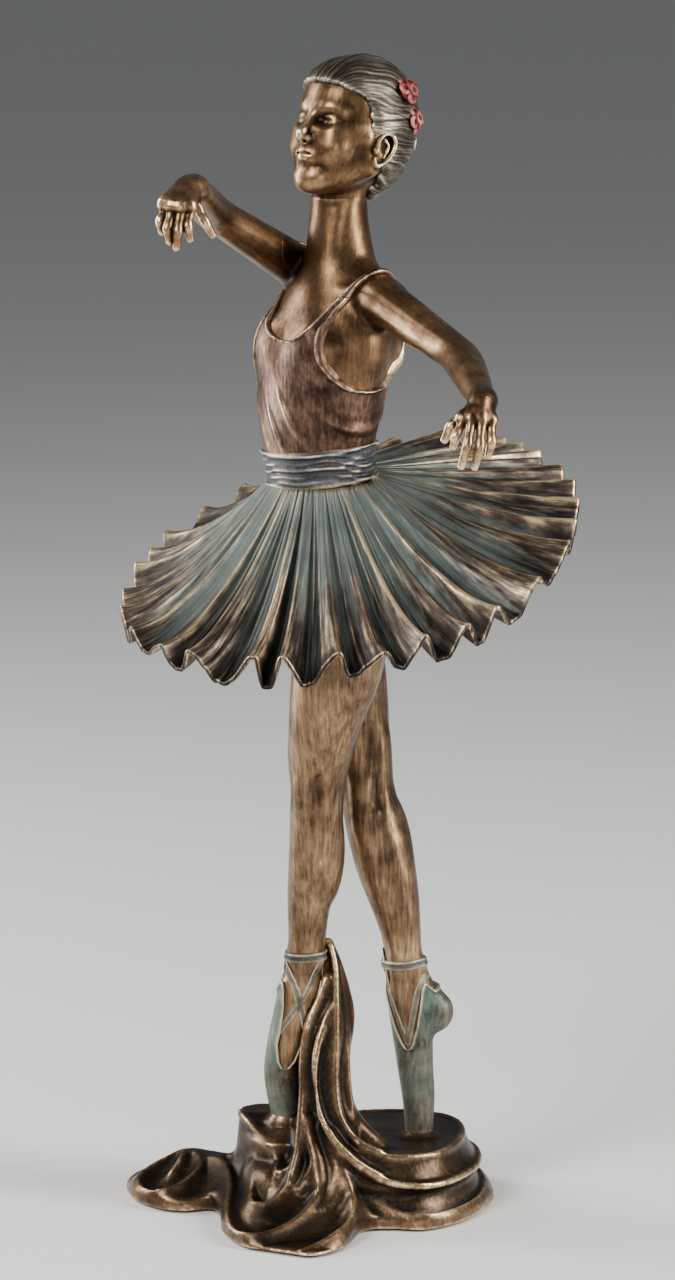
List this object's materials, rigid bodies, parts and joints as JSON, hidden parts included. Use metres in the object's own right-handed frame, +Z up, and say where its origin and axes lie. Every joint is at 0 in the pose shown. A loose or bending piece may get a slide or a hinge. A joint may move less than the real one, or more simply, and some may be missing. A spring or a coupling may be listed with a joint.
{
  "type": "bronze ballerina statuette",
  "caption": "Free-standing cast bronze statuette of a ballerina en pointe in a pleated tutu, arms forward, on a base of swirling drapery.",
  "frame": {"origin": "on the resting face, under the middle of the base", "axes": "+Z up along the figure, +X to the right and +Y away from a viewer at the front; the dancer's chest turns about 50 degrees to the viewer's left"},
  "size_m": [0.1162, 0.1525, 0.3],
  "materials": {
    "skin_bronze": "antiqued golden bronze, rubbed bright on the crests and dark brown in the hollows",
    "leotard_bronze": "reddish brushed bronze",
    "sash_patina": "blue-grey patina with golden rubbed edges",
    "tutu_patina": "green-grey patina darkening to brown at the hem, with golden pleat crests",
    "shoe_patina": "pale green-grey patina over bronze",
    "hair_bronze": "silvery bronze, combed",
    "flower_red": "dull red cold paint over bronze",
    "base_bronze": "dark brown bronze with golden rubbed crests",
    "steel": "plain drawn rod",
    "felt": "dark green felt"
  },
  "bodies": {
    "root": {"left_leg": "skin_bronze", "right_leg": "skin_bronze", "hips": "skin_bronze", "torso": "skin_bronze", "left_arm": "skin_bronze", "right_arm": "skin_bronze", "left_hand": "skin_bronze", "right_hand": "skin_bronze", "head": "skin_bronze", "leotard": "leotard_bronze", "left_strap": "leotard_bronze", "right_strap": "leotard_bronze", "sash": "sash_patina", "tutu": "tutu_patina", "left_shoe": "shoe_patina", "right_shoe": "shoe_patina", "left_ankle_ribbon": "shoe_patina", "right_ankle_ribbon": "shoe_patina", "left_crossed_ribbons": "shoe_patina", "right_crossed_ribbons": "shoe_patina", "hair": "hair_bronze", "hair_bun": "hair_bronze", "upper_flower": "flower_red", "lower_flower": "flower_red", "base": "base_bronze", "rising_drape": "base_bronze", "leg_rods": "steel", "hip_dowels": "steel", "waist_rod": "steel", "neck_dowel": "steel", "shoulder_dowels": "steel", "wrist_dowels": "steel", "drape_dowel": "steel", "felt_pad": "felt"}
  },
  "joints": []
}
